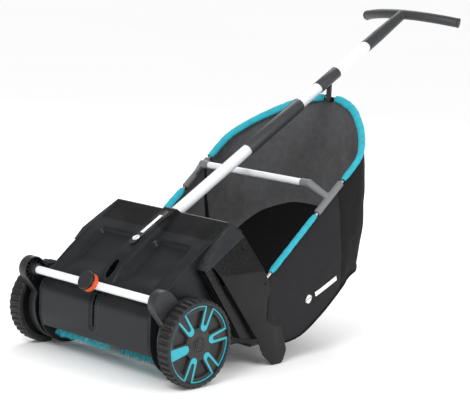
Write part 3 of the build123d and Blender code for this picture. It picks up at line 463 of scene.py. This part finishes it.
def curve_through(points, step):
    """Points along a smooth line through the given ones, about step apart."""
    points = [Vector(p) for p in points]
    padded = [2 * points[0] - points[1]] + points + [2 * points[-1] - points[-2]]
    line = []
    for a, b, c, d in zip(padded, padded[1:], padded[2:], padded[3:]):
        count = max(1, round((c - b).length / step))
        for i in range(count):
            t = i / count
            line.append(0.5 * (2 * b + (c - a) * t + (2 * a - 5 * b + 4 * c - d) * t**2
                               + (3 * b - a - 3 * c + d) * t**3))
    return line + [points[-1]]


def grid_faces(rows, columns, closed=False):
    """Quads of a grid with rows times columns corners; closed joins the last column to the first."""
    faces = []
    for i in range(rows - 1):
        for j in range(columns if closed else columns - 1):
            k = (j + 1) % columns
            here, above = i * columns, (i + 1) * columns
            faces.append((here + j, here + k, above + k, above + j))
    return faces


def finish_piece(obj, body, *stands_for):
    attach(obj, body)
    if stands_for:
        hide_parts(*stands_for)
    return obj


def tube_along(name, line, radii, material, body, flat=1.0, turn=0.0, rough=0.0, count=14, seed=0):
    """A soft tube round a line in metres, flattened across a direction turned about the line."""
    verts = []
    for i, centre in enumerate(line):
        ahead = line[min(i + 1, len(line) - 1)] - line[max(i - 1, 0)]
        side = ahead.cross(rod_up).normalized()
        over = side.cross(ahead).normalized()
        side, over = (side * math.cos(turn) + over * math.sin(turn),
                      over * math.cos(turn) - side * math.sin(turn))
        for k in range(count):
            a = 2 * math.pi * k / count
            wave = noise.noise(centre * 90 + Vector((math.cos(a), math.sin(a), seed)) * 0.8)
            r = radii[i] * (1 + rough * wave)
            verts.append(centre + side * (r * math.cos(a)) + over * (r * math.sin(a) * flat))
    obj = mesh_object(name, verts, grid_faces(len(line), count, True), [material])
    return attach(obj, body)


# ---------------------------------------------------------------- hood
HOOD_HALF = 200
RIM = [(-78.2, 108), (-78.2, 140), (-76.5, 162), (-68, 180), (-52, 197), (-28, 221), (13, 254),
       (44, 277), (77, 300), (119, 327), (172, 364)]
SLOT_DEPTH = 2.2
SLIT_HALF = 3.7


def hood_profile():
    """Side line of the hood from the front lip to the rear edge, in millimetres."""
    lip = [on_drum(a, DRUM_R) for a in range(205, 180, -5)]
    return curve_through(lip + RIM, 3.2)


def on_drum(angle, radius):
    """A point about the brush axis, in the side view."""
    return (BRUSH_Y + radius * math.cos(math.radians(angle)),
            BRUSH_Z + radius * math.sin(math.radians(angle)))


def hood_rise(x, y, z):
    """How far the hood stands out of its plain profile: pressed scoops, spine and clamp slot."""
    across = abs(x)
    corner = max(0.0, (52 - across) / 16, (across - 150) / 16)
    back = 86 - 18 * (1 - math.sqrt(max(0.0, 1 - min(1.0, corner) ** 2)))
    scoop = smooth(33, 47, across) * (1 - smooth(153, 168, across))
    scoop *= smooth(-52, 10, y) * (1 - smooth(back - 9, back + 3, y)) if z > 190 else 0
    spine = 14.5 * smooth(-70, 30, y) * (1 - 0.45 * smooth(119, 172, y)) if z > 170 else 0
    spine *= 1 - smooth(19 + 4 * smooth(40, -40, y), 33, across)
    capsule = slot_distance(x, z) - 15
    slot = SLOT_DEPTH * (1 - smooth(-1.5, 0.5, capsule)) * (1 - smooth(200, 210, z)) if y < 0 else 0
    return spine - 12.5 * scoop - slot


def slot_distance(x, z):
    """Distance from the middle line of the clamp slot, which has a round lower end."""
    return math.hypot(x, max(0.0, 103 - z))


def in_slit(x, y, z):
    return abs(x) < SLIT_HALF and 101 < z < 196 and y < 0


def in_nose_hole(x, y, z):
    along = ((y + 22) + (z - 238)) / math.sqrt(2)
    return (x / 11) ** 2 + (along / 29) ** 2 < 1 and z > 200


def make_hood():
    """Hood skin with its scoops, spine, clamp slot and the hole behind the slot, with painted shade: a darker rear
    band and slot recess, and a black sheet seen through the slit.
    """
    line = hood_profile()
    fine = [-SLIT_HALF, SLIT_HALF, -8.5, 8.5] + [i * 1.9 for i in range(-19, 20)]
    edges = (-HOOD_HALF, HOOD_HALF)
    columns = sorted(set(list(range(-HOOD_HALF, HOOD_HALF + 1, 5)) + fine))
    columns = [c for i, c in enumerate(columns) if i == 0 or c - columns[i - 1] > 0.35 or c in edges]
    verts, flat = [], []
    for i, point in enumerate(line):
        ahead = line[min(i + 1, len(line) - 1)] - line[max(i - 1, 0)]
        normal = Vector((-ahead.y, ahead.x)).normalized()
        for x in columns:
            rise = hood_rise(x, point.x, point.y)
            verts.append(spot(x, point.x + normal.x * rise, point.y + normal.y * rise))
            flat.append((x, point.x, point.y))
    faces = []
    for face in grid_faces(len(line), len(columns)):
        centre = [sum(flat[v][k] for v in face) / 4 for k in range(3)]
        if not in_slit(*centre) and not in_nose_hole(*centre):
            faces.append(face)
    hood = mesh_object("hood_moulding", verts, faces, [FINISH["housing"], FINISH["panel"]])
    for face in hood.data.polygons:
        y = sum(flat[v][1] for v in face.vertices) / len(face.vertices)
        x = sum(flat[v][0] for v in face.vertices) / len(face.vertices)
        z = sum(flat[v][2] for v in face.vertices) / len(face.vertices)
        # Faces behind y 112 and in the clamp slot take the darker panel plastic: painted shade in the slot's
        # recess, and on the rear band painted shade standing mostly for the dimmer reflection there.
        in_slot = slot_distance(x, z) < 14 and z < 205 and y < 0
        face.material_index = 1 if y > 112 or in_slot else 0
    shell = hood.modifiers.new("wall", "SOLIDIFY")
    shell.thickness = 2.4 * MM
    shell.offset = -1
    finish_piece(hood, "chassis", "hood_shell")
    # A near-black sheet inside the hood behind the slit: painted shade for the hood's shadowed inside seen through
    # the slit.
    arc = range(108, 194, 4)
    behind = [spot(x, *on_drum(a, 93)) for a in arc for x in (-9, 9)]
    shade_sheet = mesh_object("slot_painted_shade", behind, grid_faces(len(arc), 2), [FINISH["painted_shade_black"]])
    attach(shade_sheet, "chassis")


def make_slot_marks():
    """Raised scale marks on both sides of the clamp's slit."""
    line = [p for p in hood_profile() if 100 < p.y < 215]

    def floor_y(z):
        for a, b in zip(line, line[1:]):
            if a.y <= z <= b.y:
                return a.x + (b.x - a.x) * (z - a.y) / (b.y - a.y) + SLOT_DEPTH
        return line[0].x + SLOT_DEPTH

    verts, faces = [], []
    for i in range(13):
        for side in (-1, 1):
            z = 106 + i * 7.2
            x0, x1 = side * 5.5, side * 9.5
            base = len(verts)
            for lift in (0.3, -0.6):
                verts += [spot(x, floor_y(h) - lift, h) for x, h in
                          ((x0, z), (x1, z + 2.4), (x1, z + 4), (x0, z + 1.6))]
            faces += [tuple(base + k for k in f) for f in ((0, 1, 2, 3), (0, 4, 5, 1), (1, 5, 6, 2),
                                                          (2, 6, 7, 3), (3, 7, 4, 0))]
    marks = mesh_object("slot_marks", verts, faces, [FINISH["grip_plastic"]], smooth=False)
    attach(marks, "chassis")


# ---------------------------------------------------------------- wheels
def lug_slant(x):
    return 0.02 * math.sin((x - 275) / 20)


def make_tyre(side, sign):
    """Hard tyre with about forty raised lugs and a row of pockets along the inner edge, drawn as flat near-black
    patches of painted shade on the lugs.
    """
    lugs = 40
    section = [(294, 93), (294, 99), (292.5, 102), (289, 103), (283, 103), (275, 103.2), (266, 103),
               (260, 102.6), (256.5, 101), (255, 98), (255, 93)]
    pattern = [0, 0, 1, 1, 1, 0]
    pocket_r = 104.95
    steps = lugs * len(pattern)
    verts = []
    for x, r in section:
        tread = smooth(255.5, 258, x) * (1 - smooth(291, 293.5, x))
        for k in range(steps):
            lug = pattern[k % len(pattern)] * tread
            a = 2 * math.pi * k / steps + lug_slant(x)
            outer = r - 2.6 * tread + 4.4 * lug
            verts.append(spot(sign * x, outer * math.cos(a), AXLE_Z + outer * math.sin(a)))
    faces = grid_faces(len(section), steps, True)
    ring = grid_faces(2, steps, True)
    top = (len(section) - 1) * steps
    faces += [(top + f[0], top + f[1], f[1], f[0]) for f in ring]
    # Pockets: flat near-black quads just over the lugs, painted shade standing for the recesses.
    base = len(verts)
    for k in range(lugs):
        for x, off in ((262, 2.3), (266, 2.3), (266, 3.7), (262, 3.7)):
            a = 2 * math.pi * (k + off / len(pattern)) / lugs + lug_slant(x)
            verts.append(spot(sign * x, pocket_r * math.cos(a), AXLE_Z + pocket_r * math.sin(a)))
        faces.append(tuple(base + 4 * k + i for i in range(4)))
    materials = [FINISH["tyre_black"], FINISH["painted_shade_black"]]
    tyre = mesh_object(side + "_tread", verts, faces, materials, smooth=False)
    for face in tyre.data.polygons[-lugs:]:
        face.material_index = 1
    work = bmesh.new()
    work.from_mesh(tyre.data)
    bmesh.ops.recalc_face_normals(work, faces=work.faces)
    work.to_mesh(tyre.data)
    work.free()
    finish_piece(tyre, side + "_wheel", side + "_tyre")


# ---------------------------------------------------------------- brush
def make_bristles(side, sign, first_angle):
    """Rows of nylon tufts, each strand slightly splayed and bent."""
    rng = random.Random(7 + sign)
    verts, faces = [], []
    centre = brush_axis
    for row in range(5):
        row_angle = math.radians(first_angle + row * 72)
        for tuft in range(26):
            x0 = sign * (5 + tuft * 7.3)
            for _ in range(13):
                x = x0 + rng.uniform(-1.6, 1.6)
                lean_x = rng.uniform(-4.5, 4.5)
                a0 = row_angle + rng.uniform(-0.1, 0.1)
                bend = rng.uniform(-0.05, 0.05)
                reach = 90 + rng.uniform(-5, 1.5)
                base = len(verts)
                for step, r in enumerate((21.0, 55.0, reach)):
                    a = a0 + bend * step
                    width = (0.75, 0.65, 0.5)[step]
                    for k in range(3):
                        turn = 2 * math.pi * k / 3
                        px = x + lean_x * (r - 21) / 70 + width * math.cos(turn)
                        pa = a + width * math.sin(turn) / r
                        verts.append(centre + Vector((px, r * math.cos(pa), r * math.sin(pa))) * MM)
                for step in range(2):
                    for k in range(3):
                        m = (k + 1) % 3
                        o = base + step * 3
                        faces.append((o + k, o + m, o + m + 3, o + k + 3))
                faces.append((base + 6, base + 7, base + 8))
    obj = mesh_object(side + "_strands", verts, faces, [FINISH["bristle"]])
    finish_piece(obj, "brush", side + "_bristles")


# ---------------------------------------------------------------- bag
BAG_STATIONS = 32.0
HOOP = [(241, -60), (241, 0), (241, 100), (241, 200), (241, 319), (241, 379), (235.5, 415), (215, 455),
        (189, 490), (155, 527), (110, 566), (75, 586), (38, 600), (0, 605.4)]


def hoop_spot(x, along, lift=0.0):
    """A point of the rod and hoop plane."""
    c, s = math.cos(math.radians(ROD_TILT)), math.sin(math.radians(ROD_TILT))
    return spot(x, ROD_Y + along * c - lift * s, ROD_Z + along * s + lift * c)


def hoop_line(start, end, step=6.0):
    """Right half of the hoop from a distance along the rod onwards, kept at least a given distance out from the
    middle.
    """
    points = curve_through([(x, a) for x, a in HOOP], step)
    return [p for p in points if p.y >= start and p.x >= end]


def make_sleeves():
    """Flattened cloth sleeves on the straight rods and on the hoop."""
    for side, sign in SIDES:
        for name, part, node in (("rod", [(241, a) for a in range(0, 203, 6)], "_rod_sleeve"),
                                 ("hoop", [(p.x, p.y) for p in hoop_line(320, 16)], "_hoop_sleeve")):
            line = [hoop_spot(sign * x, a) for x, a in part]
            count = len(line)
            radii = [0.0106 * (1 - 0.16 * (i < 2) - 0.16 * (i > count - 3)) for i in range(count)]
            obj = tube_along(side + "_" + name + "_cloth", line, radii, FINISH["teal_cloth"], "bag",
                             flat=0.64, turn=sign * math.radians(20), rough=0.12, seed=sign + len(name))
            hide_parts(side + node)


def bag_edges():
    """Matching top and bottom points of the right half of the bag, front to apex, in millimetres."""
    top, bottom = [], []
    rows = [
        ((241, -20), (241, 267, 60)), ((241, 45), (241, 318, 50)), ((241, 110), (241, 368, 52)),
        ((241, 165), (241, 408, 62)), ((241, 215), (241, 445, 82)), ((241, 262), (241, 500, 120)),
        ((241, 305), (238, 560, 166)), ((241, 345), (232, 582, 181)), ((240, 385), (226, 604, 190)),
        ((232, 424), (219, 628, 195)), ((215, 455), (205, 648, 203)), ((189, 490), (186, 664, 214)),
        ((155, 527), (153, 691, 236)), ((110, 566), (109, 719, 262)), ((75, 586), (75, 733, 280)),
        ((38, 600), (38, 742, 292)), ((0, 605.4), (0, 745, 297)),
    ]
    for t, b in rows:
        p = hoop_spot(t[0], t[1], -7)
        top.append(p)
        bottom.append(spot(*b))
    return top, bottom


def mirrored(line):
    """The line carried on to its mirror image."""
    return line + [Vector((-p.x, p.y, p.z)) for p in reversed(line[:-1])]


def evenly_spaced(anchors, count):
    """Points along a smooth line through the anchors, as many between each pair as between the next."""
    line = curve_through(anchors, 7 * MM)
    lengths = [0.0]
    for a, b in zip(line, line[1:]):
        lengths.append(lengths[-1] + (b - a).length)
    nearest = [min(range(len(line)), key=lambda i: (line[i] - anchor).length) for anchor in anchors]

    def at(target):
        for i in range(len(lengths) - 1):
            if lengths[i + 1] >= target:
                f = (target - lengths[i]) / max(1e-9, lengths[i + 1] - lengths[i])
                return line[i].lerp(line[i + 1], f)
        return line[-1]

    points = []
    for c in range(count):
        u = BAG_STATIONS * c / (count - 1)
        k = min(int(u), len(anchors) - 2)
        start, end = lengths[nearest[k]], lengths[nearest[k + 1]]
        points.append(at(start + (end - start) * (u - k)))
    return points


def make_bag():
    """Sewn cloth bag: sides and back as one bulging, creased wall, with a stiffer sloping floor."""
    columns = 150
    rows = 40
    uppers, lowers = (evenly_spaced(mirrored(edge), columns) for edge in bag_edges())
    seams = (6.0, 26.0)
    creases = (9.6, 12.6, 15.0, 18.0, 20.6, 22.8)
    verts = []
    middle_point = spot(0, 480, 0)
    for r in range(rows):
        v = r / (rows - 1)
        for c in range(columns):
            u = BAG_STATIONS * c / (columns - 1)
            p = uppers[c].lerp(lowers[c], v)
            along = uppers[min(c + 1, columns - 1)] - uppers[max(c - 1, 0)]
            out = Vector((along.y, -along.x, 0)).normalized()
            if out.dot(p - middle_point) < 0:
                out = -out
            height = (uppers[c] - lowers[c]).length
            bulge = 0.012 * math.sin(math.pi * min(1, v * 1.04)) ** 0.8 * min(1, height / 0.2)
            pull = 0.0
            for s in seams:
                pull += 0.004 * math.exp(-((u - s) / 0.22) ** 2)
            folds = 0.0
            for n, s in enumerate(creases):
                width = 0.35 + 0.25 * v
                across = (u - s - 0.5 * math.sin(3 * v + n)) / width
                folds += 0.007 * (0.35 + 0.65 * v) * math.exp(-across ** 2)
            ripple = 0.0045 * noise.noise(Vector((u * 0.55, v * 2.2, 3.1)))
            ripple += 0.0022 * noise.noise(Vector((u * 1.6, v * 6.0, 9.7)))
            sag = math.sin(math.pi * v)
            back = smooth(7.0, 10.0, u) * (1 - smooth(22.0, 25.0, u))
            verts.append(p + out * (bulge - (pull + folds * back) * sag + ripple * sag))
    wall = mesh_object("bag_wall", verts, grid_faces(rows, columns),
                       [FINISH[n] for n in ("bag_cloth", "bag_lining", "bag_back", "bag_lining",
                                            "bag_binding", "bag_binding")])
    for face in wall.data.polygons:
        u = sum(v % columns for v in face.vertices) / 4 * BAG_STATIONS / (columns - 1)
        if min(abs(u - s) for s in seams) < 0.12:
            face.material_index = 4
        elif seams[0] < u < seams[1]:
            face.material_index = 2
    thick = wall.modifiers.new("cloth", "SOLIDIFY")
    thick.thickness = 1.5 * MM
    thick.offset = 0
    thick.material_offset = 1
    thick.material_offset_rim = 4
    work = bmesh.new()
    work.from_mesh(wall.data)
    if sum(f.normal.dot(f.calc_center_median() - spot(0, 480, 300)) for f in work.faces) < 0:
        bmesh.ops.reverse_faces(work, faces=work.faces)
    work.to_mesh(wall.data)
    work.free()
    finish_piece(wall, "bag", "grass_bag")
    make_bag_floor()
    tube_along("bag_binding", [p + Vector((0, 0, 0.004)) for p in uppers],
                     [0.0035] * len(uppers), FINISH["bag_binding"], "bag", rough=0.2)
    tube_along("bag_floor_binding", lowers, [0.0028] * len(lowers),
               FINISH["bag_binding"], "bag", rough=0.2)
    corners = [v.co for v in wall.data.vertices]
    return BVHTree.FromPolygons(corners, [f.vertices for f in wall.data.polygons])


def make_bag_floor():
    """Stiffer floor of the bag, rising from the sill to meet the back wall above its lower edge."""
    side = [(238, 268, 62), (238, 340, 56), (237, 408, 72), (236, 465, 108), (234, 525, 152),
            (227, 580, 198), (208, 634, 247), (190, 653, 270), (165, 675, 293), (137, 695, 307),
            (108, 715, 319), (82, 726, 323), (54, 736, 322), (27, 741, 320), (4, 742, 319)]
    edge = curve_through([spot(*p) for p in side], 9 * MM)
    across = 40
    verts = []
    for i, a in enumerate(edge):
        b = Vector((-a.x, a.y, a.z))
        for k in range(across):
            t = k / (across - 1)
            p = a.lerp(b, t)
            p.z -= 0.006 * math.sin(math.pi * t) * min(1, (a - b).length / 0.3)
            p.z += 0.0015 * noise.noise(Vector((p.x * 9, p.y * 9, 1.3)))
            verts.append(p)
    floor = mesh_object("bag_floor", verts, grid_faces(len(edge), across), [FINISH["bag_binding"]])
    thick = floor.modifiers.new("board", "SOLIDIFY")
    thick.thickness = 2 * MM
    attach(floor, "bag")


# ---------------------------------------------------------------- printed marks
def make_mark(name, origin, along, across, length, body, surface=None):
    """Plain generic mark, a leaf in two halves and a rounded bar, laid on a surface if one is given."""
    verts, faces = [], []
    up = along.cross(across).normalized() * 0.0006

    def laid(point):
        if surface is None:
            return point
        hit = surface.ray_cast(point + Vector((0.1, 0, 0)), Vector((-1, 0, 0)))[0]
        return (hit or point) + Vector((0.0016, 0, 0))

    def add(points):
        base = len(verts)
        verts.extend(laid(origin + along * a + across * b + up) for a, b in points)
        faces.append(tuple(range(base, base + len(points))))

    size = length * 0.2
    for side in (-1, 1):
        leaf = [(size * t, side * size * (0.06 + 0.42 * math.sin(math.pi * t))) for t in
                [i / 10 for i in range(11)]]
        add(leaf + [(size * (1 - i / 10), side * size * 0.05) for i in range(11)])
    start, end, half, parts = length * 0.3, length, length * 0.05, 14
    for i in range(parts):
        a, b = (start + (end - start) * k / parts for k in (i, i + 1))
        add([(a, -half), (b, -half), (b, half), (a, half)])
    mark = mesh_object(name, verts, faces, [FINISH["white_print"]], smooth=False)
    thick = mark.modifiers.new("print", "SOLIDIFY")
    thick.thickness = 0.3 * MM
    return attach(mark, body)


def make_marks(wall):
    """Marks on the hood's badge and on the near side of the bag."""
    low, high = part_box("label_plate")
    tilt = Vector((0, math.cos(math.radians(HANDLE_TILT)), math.sin(math.radians(HANDLE_TILT))))
    width = Vector((1, 0, 0))
    inset = 12 * MM
    front = Vector((0, low.y + inset, low.z + (high.z - low.z) * inset / (high.y - low.y)))
    make_mark("hood_mark", front + Vector((0, -0.0012, 0.0022)), tilt, width, 0.105, "chassis")
    a, b = spot(246, 406, 148), spot(246, 532, 197)
    along = (b - a).normalized()
    across = along.cross(width).normalized()
    make_mark("bag_mark", a, along, across, (b - a).length * 0.93, "bag", wall)


# ---------------------------------------------------------------- melted mouldings
def melted(node, voxel, passes, slot=None):
    """A CAD node with its joints run into fillets, as in a moulding; it stands for the node."""
    source = nodes[node]
    obj = bpy.data.objects.new(node + "_moulded", source.data.copy())
    bpy.context.scene.collection.objects.link(obj)
    remesh = obj.modifiers.new("even", "REMESH")
    remesh.mode = "VOXEL"
    remesh.voxel_size = voxel
    remesh.use_smooth_shade = True
    ease = obj.modifiers.new("ease", "SMOOTH")
    ease.iterations = passes
    ease.factor = 0.5
    if slot:
        obj.data.materials.clear()
        obj.data.materials.append(FINISH[slot])
    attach(obj, source_body(node))
    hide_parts(node)
    return obj


def source_body(node):
    bodies = frame["record"]["behaviour"]["bodies"]
    return next(body for body, members in bodies.items() if node in members)


def make_mouldings():
    """Rounds the edges of the remaining CAD pieces."""
    for node in side_nodes("bag_tee"):
        melted(node, 1.6 * MM, 10)
    melted("bag_hook", 1.2 * MM, 3)
    melted("handle_grip", 2.0 * MM, 8, "grip_plastic")
    for node in ["tube_sleeve", "clip_sleeve", "grip_caps"]:
        softened(node, 0.8 * MM, 2, slot="grip_plastic")
    for node in side_nodes("end_plate") + side_nodes("panel_column") + side_nodes("side_panel"):
        softened(node, 2.5 * MM, 3)
    for node in side_nodes("shoulder"):
        softened(node, 3.0 * MM, 3, slot="shoulder")
    for node in side_nodes("wheel_arm"):
        softened(node, 1.0 * MM, 2)
    for node in side_nodes("wheel_disc") + ["knob_cap"]:
        softened(node, 0.7 * MM, 2)
    for node in ["handle_socket", "label_plate", "clamp_shoe"]:
        softened(node, 0.8 * MM, 2)


make_camera()
make_studio()
finish_frame()
make_hood()
make_slot_marks()
for side, sign in SIDES:
    make_tyre(side, sign)
    make_bristles(side, sign, -90 if sign > 0 else -54)
make_sleeves()
make_marks(make_bag())
make_mouldings()
